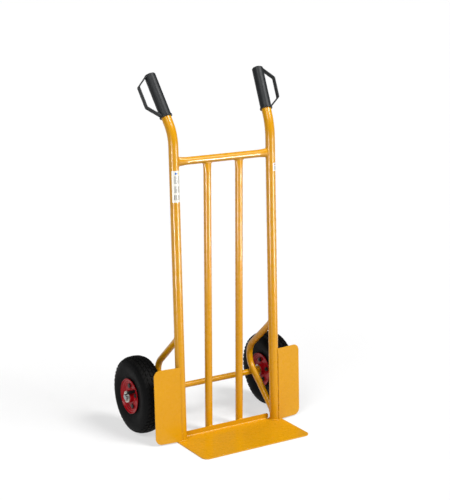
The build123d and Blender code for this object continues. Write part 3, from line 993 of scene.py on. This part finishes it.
    def flange_run(self, side: Side) -> Path:
        """Short run where an inner upright stands against the top of the flange."""
        y, z = self.flange_back + self.stand_off, self.flange_top + 0.1
        return [side.place(self.inner_x - 8.0 + 2.0 * n, y, z) for n in range(9)]

    def flange_end_run(self, side: Side) -> Path:
        """Upright run that fills the slot between the flange's end and the upright."""
        x, y = self.upright_x - self.upright_radius - 1.0, self.flange_back - 2.6
        return [side.place(x, y, 5.0 + 1.6 * n) for n in range(10)]

    def runs(self, side: Side) -> dict[str, tuple[Path, bool, float]]:
        """Every weld run of one side: its path, whether it closes, and its radius."""
        top = self.plate_top
        return {
            "foot": (self.foot_run(side), True, 2.5),
            "cross_tube": (self.cross_tube_run(side), True, 2.0),
            "inner_top": (self.inner_top_run(side), True, 1.9),
            "stay_top": (self.stay_run(side, self.stay_upper), True, 2.1),
            "stay_foot": (self.stay_run(side, -self.stay_lower), True, 2.1),
            "axle": (self.axle_run(side), True, 3.0),
            "collar": (self.collar_run(side), True, 1.6),
            "plate_top_front": (self.plate_run(side, top - 21, top - 0.5, True), False, 2.3),
            "plate_low_front": (self.plate_run(side, 6.0, 33.0, True), False, 2.3),
            "plate_top_back": (self.plate_run(side, top - 30, top - 4, False), False, 2.0),
            "plate_low_back": (self.plate_run(side, 7.0, 36.0, False), False, 2.0),
            "plate_foot": (self.plate_foot_run(side), False, 1.6),
            "flange": (self.flange_run(side), False, 1.7),
            "flange_end": (self.flange_end_run(side), False, 2.5),
        }

    def build(self) -> None:
        """Lays every weld bead of the frame."""
        for side in Side:
            for name, (path, closed, radius) in self.runs(side).items():
                WeldBead(f"weld_{name}_{side.word}", path, closed, radius).build(self.finish)


# ---------------------------------------------------------------- wheels
@dataclass
class Tyre:
    """Air-filled tyre with a blocky diamond tread and ribbed sidewalls. Sizes are in mm."""

    side: Side
    centre_x: float = 259.3
    lug_length: float = 12.4
    lug_slant: float = 3.8
    lug_count: int = 46
    edge_inset: float = 0.7
    tread_radius: float = 126.0
    rib_limit: float = 116.0  # ribs stay inside this radius
    segments: int = 184
    # Half of the carcass, from the crown's middle to the bead: offset from the middle, radius.
    carcass: tuple[Pair, ...] = (
        (0.0, 126.4), (9.0, 126.0), (18.0, 124.6), (26.0, 122.0), (31.0, 118.2), (34.6, 113.0),
        (37.0, 107.0), (38.6, 101.0), (38.9, 95.0), (38.2, 87.0), (36.8, 79.0), (35.0, 71.0),
        (33.6, 65.0), (32.6, 60.0), (31.6, 55.0), (30.5, 51.2),
    )
    # Raised rings on the sidewall: radius, height, half width.
    ribs: tuple[Triple, ...] = (
        (110.5, 0.45, 0.9), (104.5, 0.3, 0.7), (73.0, 0.55, 1.1), (69.0, 0.45, 0.9),
        (64.5, 0.6, 1.0),
    )
    # Lug rows: middle and half width, along the carcass from the crown's middle, stagger, height.
    rows: tuple[tuple[float, float, float, float], ...] = (
        (0.0, 5.0, 0.0, 3.6), (13.2, 5.2, 0.5, 3.5), (26.4, 5.0, 0.0, 2.6)
    )
    finish: Finish = field(default_factory=TreadRubber)

    def outline(self) -> list[Pair]:
        """Smooth half outline of the carcass, about 1 mm between points."""
        ends = self.carcass
        run = [Vector((-ends[1][0], ends[1][1]))]
        run += [Vector(p) for p in ends]
        run.append(run[-1] * 2 - run[-2])
        smooth: list[Pair] = []
        for a, b, c, d in zip(run, run[1:], run[2:], run[3:]):
            count = max(2, round((c - b).length))
            for n in range(count):
                t = n / count
                point = 0.5 * (
                    2 * b + (c - a) * t + (2 * a - 5 * b + 4 * c - d) * t**2
                    + (3 * b - a - 3 * c + d) * t**3
                )
                smooth.append((point.x, point.y))
        smooth.append(ends[-1])
        return smooth

    def ribbed(self, outline: list[Pair]) -> list[Pair]:
        """The outline with its sidewall ribs raised."""
        fine: list[Pair] = []
        for (x0, r0), (x1, r1) in zip(outline, outline[1:]):
            for share in (0.0, 0.5):
                fine.append((x0 + (x1 - x0) * share, r0 + (r1 - r0) * share))
        fine.append(outline[-1])
        raised: list[Pair] = []
        for x, radius in fine:
            lift = sum(
                height * math.exp(-(((radius - middle) / half) ** 2))
                for middle, height, half in self.ribs
            )
            raised.append((x + lift if radius < self.rib_limit else x, radius))
        return raised

    def at(self, offset: float, radius: float, turn: float) -> Vector:
        """Point of the tyre in the shared frame, from its offset, radius and angle."""
        y, z = AXLE_Y + radius * math.cos(turn), AXLE_Z + radius * math.sin(turn)
        return self.side.place(self.centre_x + offset, y, z)

    def carcass_mesh(self) -> tuple[Path, Faces]:
        """Vertices and faces of the carcass, turned about the axle."""
        half = self.ribbed(self.outline())
        profile = [(-x, r) for x, r in reversed(half[1:])] + half
        points = [
            self.at(x, r, 2 * math.pi * n / self.segments)
            for n in range(self.segments)
            for x, r in profile
        ]
        wide = len(profile)
        faces: Faces = []
        for n in range(self.segments):
            here, there = n * wide, (n + 1) % self.segments * wide
            faces += quads(range(here, here + wide), range(there, there + wide))
        return points, faces

    def tread_guide(self) -> Guide:
        """Function from the distance across the tread to the point and its outward normal."""
        half = [Vector(spot) for spot in self.outline()]
        lengths = measure(half)

        def guide(across: float) -> tuple[Vector, Vector]:
            """Point of the carcass and its outward normal, as offset and radius."""
            sign = -1.0 if across < 0 else 1.0
            leg, share = find_leg(lengths, abs(across))
            run = (half[leg + 1] - half[leg]).normalized()
            point = half[leg].lerp(half[leg + 1], share)
            return Vector((sign * point.x, point.y)), Vector((sign * -run.y, run.x))

        return guide

    def lug(
        self, guide: Guide, across: float, half: float, turn: float, slant: float, tall: float
    ) -> tuple[Path, Faces]:
        """One tread block, its sides drafted and its top edge eased.

        Args:
            guide: Carcass point and normal for a distance across the tread.
            across: Block's middle, across the tread.
            half: Block's half width across the tread.
            turn: Block's middle, round the tyre, in radians.
            slant: How far its outer side is shifted round the tyre, in mm.
            tall: Block's height.

        Returns:
            Vertices, and faces numbered from 0.
        """
        # Height and inset: foot, sunk into the carcass; lower and upper edge of the top.
        levels = ((-0.8, -0.3), (tall - 0.5, 0.25), (tall, self.edge_inset))
        steps = 4
        half_rim = [(-1 + 2 * n / steps, -1.0) for n in range(steps)] + [(1.0, -1.0), (1.0, 0.0)]
        rim = half_rim + [(-u, -v) for u, v in half_rim]
        points: Path = []
        for height, inset in levels:
            for u, v in rim:
                wide = across + u * (half - inset)
                point, normal = guide(wide)
                spot = point + normal * height
                shift = v * (self.lug_length / 2 - inset) + slant * u
                points.append(self.at(spot.x, spot.y, turn + shift / self.tread_radius))
        faces: Faces = []
        ring = len(rim)
        for level in range(len(levels) - 1):
            faces += quads(loop(level * ring, ring), loop((level + 1) * ring, ring))
        top = loop((len(levels) - 1) * ring, ring)
        point, normal = guide(across)
        spot = point + normal * tall
        points.append(self.at(spot.x, spot.y, turn))
        faces += [(a, b, len(points) - 1) for a, b in zip(top, top[1:])]
        return points, faces

    def build(self) -> None:
        """Makes the tyre in place of its solid, riding on its wheel."""
        points, faces = self.carcass_mesh()
        guide = self.tread_guide()
        for middle, half, stagger, tall in self.rows:
            for sign in (1, -1) if middle else (1,):
                for n in range(self.lug_count):
                    turn = 2 * math.pi * (n + stagger) / self.lug_count
                    slant = self.lug_slant * sign if middle else 0.0
                    block, sheets = self.lug(guide, sign * middle, half, turn, slant, tall)
                    first = len(points)
                    points += block
                    faces += [tuple(first + k for k in sheet) for sheet in sheets]
        piece = make_piece(f"treaded_tyre_{self.side.word}", points, faces, sharp_angle=38.0)
        dress(piece, self.finish)
        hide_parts(f"tyre_{self.side.word}")
        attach(piece, f"wheel_{self.side.word}")
        LOG.info("built %s", piece.name)


@dataclass
class ValveCap:
    """Knurled screw cap of the tyre valve. Sizes are in mm."""

    side: Side
    ribs: int = 16
    rib_steps: int = 6
    knurl: float = 0.35
    finish: Finish = field(
        default_factory=lambda: SparkGrainedPlastic(
            name="moulded_cap_plastic",
            slot="cap_plastic",
            colour="#101112",
            drift_colour="#191A1B",
            roughness=(0.30, 0.50),
            rubbed_colour="#303234",
            grain_size=0.8,
        )
    )

    def build(self) -> None:
        """Makes the cap in place of its solid, riding on its wheel."""
        node = f"valve_cap_{self.side.word}"
        low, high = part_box(node)
        middle = (low + high) / 2
        radius = (high.y - low.y) / 2
        length = high.x - low.x
        outer = high.x if self.side is Side.RIGHT else low.x
        # Distance in from the outer end, share of the radius, and whether it is knurled.
        profile = (
            (0.0, 0.02, False), (0.02, 0.45, False), (0.04, 0.7, False), (0.1, 0.9, False),
            (0.16, 0.99, True), (0.5, 1.0, True), (0.84, 1.0, True), (0.9, 0.92, False),
            (0.99, 0.9, False), (1.0, 0.6, False),
        )
        turns = self.ribs * self.rib_steps
        points: Path = []
        for depth, share, knurled in profile:
            for n in range(turns):
                angle = 2 * math.pi * n / turns
                reach = radius * share
                if knurled:
                    dip = 0.5 - 0.5 * math.cos(self.ribs * angle)
                    reach -= self.knurl * MM * (1 - dip**0.7)
                x = outer - self.side.value * depth * length
                y, z = middle.y + reach * math.cos(angle), middle.z + reach * math.sin(angle)
                points.append(Vector((x, y, z)))
        faces: Faces = [tuple(range(turns))]
        for ring in range(len(profile) - 1):
            here, there = loop(ring * turns, turns), loop((ring + 1) * turns, turns)
            faces += [(a, d, c, b) for a, b, c, d in quads(here, there)]
        piece = make_piece(f"knurled_cap_{self.side.word}", points, faces, sharp_angle=50.0)
        dress(piece, self.finish)
        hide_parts(node)
        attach(piece, f"wheel_{self.side.word}")
        LOG.info("built %s", piece.name)


@dataclass
class Wheel:
    """Bolted two-piece rim on a ball-bearing hub, with its tyre and valve."""

    side: Side
    enamel: Finish = field(default_factory=RimEnamel)
    black: Finish = field(default_factory=PhosphatedSteel)
    bearing: Finish = field(default_factory=GroundBearingSteel)
    tube_rubber: Finish = field(default_factory=MouldedRubber)
    valve_rubber: Finish = field(
        default_factory=lambda: MouldedRubber(
            name="valve_stem_rubber",
            slot="valve_rubber",
            colour="#121213",
            drift_colour="#1B1B1C",
            roughness=(0.30, 0.56),
        )
    )

    def dress(self, nodes: dict[str, Piece]) -> None:
        """Gives each piece of the wheel its finish."""
        finishes = {
            "outer_rim_half": self.enamel,
            "inner_rim_half": self.enamel,
            "hub": self.enamel,
            "rim_bolts": self.black,
            "rim_nuts": self.black,
            "wheel_bearings": self.bearing,
            "inner_tube": self.tube_rubber,
            "valve": self.valve_rubber,
        }
        for name, finish in finishes.items():
            dress(nodes[f"{name}_{self.side.word}"], finish)
            LOG.info("dressed %s_%s", name, self.side.word)

    def build(self) -> None:
        """Makes the tyre and the valve cap."""
        Tyre(self.side).build()
        ValveCap(self.side).build()


# ---------------------------------------------------------------- fittings
@dataclass
class Fittings:
    """Washers, split pins, grips and labels, whose solids are shown as they are."""

    zinc: Finish = field(default_factory=ZincPlatedSteel)
    grip: Finish = field(default_factory=SparkGrainedPlastic)
    info_label: Finish = field(
        default_factory=lambda: PrintedVinyl(
            name="printed_vinyl_tall",
            middle=(-182.5, 846.0),
            areas=(
                PrintedArea(Print.SOLID, "#2E5FA8", (-1.5, 42.5), (4.5, 3.5)),
                PrintedArea(Print.SOLID, "#E8C53A", (6.0, 42.5), (2.2, 3.5)),
                PrintedArea(Print.ROWS, "#55585B", (0.0, 22.0), (9.0, 13.0), pitch=3.4),
                PrintedArea(Print.ROWS, "#4A4C4F", (0.0, -8.0), (9.0, 11.0), pitch=3.0),
                PrintedArea(Print.BARS, "#2A2A2B", (0.0, -34.0), (9.5, 8.0), pitch=1.9),
            ),
        )
    )
    small_label: Finish = field(
        default_factory=lambda: PrintedVinyl(
            name="printed_vinyl_small",
            middle=(189.5, 875.0),
            areas=(
                PrintedArea(Print.ROWS, "#4E5154", (0.0, -3.0), (5.0, 6.5), pitch=2.8),
                PrintedArea(Print.SOLID, "#8E2F2A", (0.0, 8.5), (4.5, 1.6)),
            ),
        )
    )

    def dress(self, nodes: dict[str, Piece]) -> None:
        """Gives each fitting its finish."""
        for side in Side:
            for name in ("inner_washer", "outer_washer", "split_pin"):
                dress(nodes[f"{name}_{side.word}"], self.zinc)
            dress(nodes[f"grip_{side.word}"], self.grip)
        dress(nodes["info_label"], self.info_label)
        dress(nodes["small_label"], self.small_label)
        LOG.info("dressed the fittings")


# ---------------------------------------------------------------- studio
@dataclass
class Studio:
    """Pale floor, soft light and the camera. Sizes are in metres."""

    floor_half: float = 40.0
    floor_cells: int = 16
    camera_place: Triple = (-2.1959, -3.5213, 1.6335)
    camera_down: float = 13.694
    camera_turn: float = -31.751
    camera_lens: float = 94.64
    ambient: float = 0.12
    # Each soft light: name, where it hangs, power and spread in degrees.
    lights: tuple[tuple[str, Triple, float, float], ...] = (
        ("key_light", (0.530, -0.848, 1.20), 3.8, 24.0),
        ("fill_light", (-0.818, -0.574, 1.0), 1.7, 24.0),
    )
    # Each upright strip lamp: name, where its middle stands, width, height and power. It only
    # draws the long highlights on the tubes, and leans back to spare the toe plate.
    strips: tuple[tuple[str, Triple, float, float, float], ...] = (
        ("right_strip", (1.30, -2.00, 0.50), 0.40, 1.00, 4.5),
        ("left_strip", (-2.30, -0.90, 0.50), 0.30, 1.00, 3.2),
    )
    strip_rise: float = 0.25  # how far a strip lamp's beam climbs for each metre it travels
    strip_spread: float = 30.0
    finish: Finish = field(default_factory=PaleFloor)

    def build_floor(self) -> None:
        """Lays the floor."""
        cells = self.floor_cells
        step = 2 * self.floor_half / cells
        points = [
            Vector((-self.floor_half + step * i, -self.floor_half + step * j, 0.0))
            for j in range(cells + 1)
            for i in range(cells + 1)
        ]
        faces = [
            (k, k + 1, k + cells + 2, k + cells + 1)
            for j in range(cells)
            for k in range(j * (cells + 1), j * (cells + 1) + cells)
        ]
        floor = make_piece("studio_floor", points, faces)
        dress(floor, self.finish)
        floor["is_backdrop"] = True

    def build_light(self) -> None:
        """Hangs the soft lights in an evenly lit room."""
        world = bpy.data.worlds.new("white_room")
        bpy.context.scene.world = world
        world.use_nodes = True
        tree = world.node_tree
        tree.nodes.clear()
        seen = add_node(tree, "LightPath").outputs["Is Camera Ray"]
        power = add_node(tree, "MapRange", {"Value": seen, "To Min": self.ambient, "To Max": 1.0})
        white = {"Color": (1.0, 1.0, 1.0, 1.0), "Strength": power.outputs["Result"]}
        glow = add_node(tree, "Background", white)
        add_node(tree, "OutputWorld", {"Surface": glow.outputs["Background"]})
        for name, toward, power, spread in self.lights:
            lamp = self.hang(name, "SUN", Vector(toward), power)
            lamp.data.angle = math.radians(spread)
        for name, place, width, height, power in self.strips:
            distance = math.hypot(place[0], place[1])
            away = Vector((place[0], place[1], -self.strip_rise * distance))
            lamp = self.hang(name, "AREA", away, power)
            lamp.location = place
            lamp.data.shape = "RECTANGLE"
            lamp.data.size = width
            lamp.data.size_y = height
            lamp.data.spread = math.radians(self.strip_spread)
            lamp.visible_camera = False
            lamp.visible_diffuse = False

    def hang(self, name: str, kind: str, toward: Vector, power: float) -> Piece:
        """Hangs a lamp that shines from a direction.

        Args:
            name: Name of the lamp.
            kind: Kind of light, such as SUN.
            toward: Direction from the object to the lamp.
            power: Strength of the light.

        Returns:
            The lamp's object.
        """
        light = bpy.data.lights.new(name, kind)
        light.energy = power
        lamp = bpy.data.objects.new(name, light)
        lamp.rotation_euler = toward.to_track_quat("Z", "Y").to_euler()
        bpy.context.scene.collection.objects.link(lamp)
        return lamp

    def build_camera(self) -> None:
        """Sets the camera at the object's usual three-quarter view."""
        data = bpy.data.cameras.new("studio_camera")
        data.lens = self.camera_lens
        data.sensor_width = 36.0
        data.clip_end = 200.0
        camera = bpy.data.objects.new("studio_camera", data)
        camera.location = self.camera_place
        camera.rotation_euler = (
            math.radians(90.0 - self.camera_down),
            0.0,
            math.radians(self.camera_turn),
        )
        bpy.context.scene.collection.objects.link(camera)
        bpy.context.scene.camera = camera

    def set_display(self) -> None:
        """Shows colours as they are, with no film curve."""
        view = bpy.context.scene.view_settings
        view.view_transform = "Standard"
        view.look = "None"
        view.exposure = 0.0
        view.gamma = 1.0

    def build(self) -> None:
        """Builds the whole studio."""
        self.build_camera()
        self.build_light()
        self.build_floor()
        self.set_display()
        LOG.info("built the studio")


def corners() -> list[list[float]]:
    """Lowest and highest corners of everything that belongs to the object."""
    return [[float(value) for value in corner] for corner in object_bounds()]


def main() -> None:
    """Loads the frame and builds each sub-assembly in order."""
    logging.basicConfig(level=logging.INFO, format="%(name)s: %(message)s")
    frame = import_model()
    nodes = frame["nodes"]
    Studio().build()
    truck = Frame()
    truck.dress(nodes)
    truck.build()
    for side in Side:
        wheel = Wheel(side)
        wheel.dress(nodes)
        wheel.build()
    Fittings().dress(nodes)


if __name__ == "__main__":
    main()
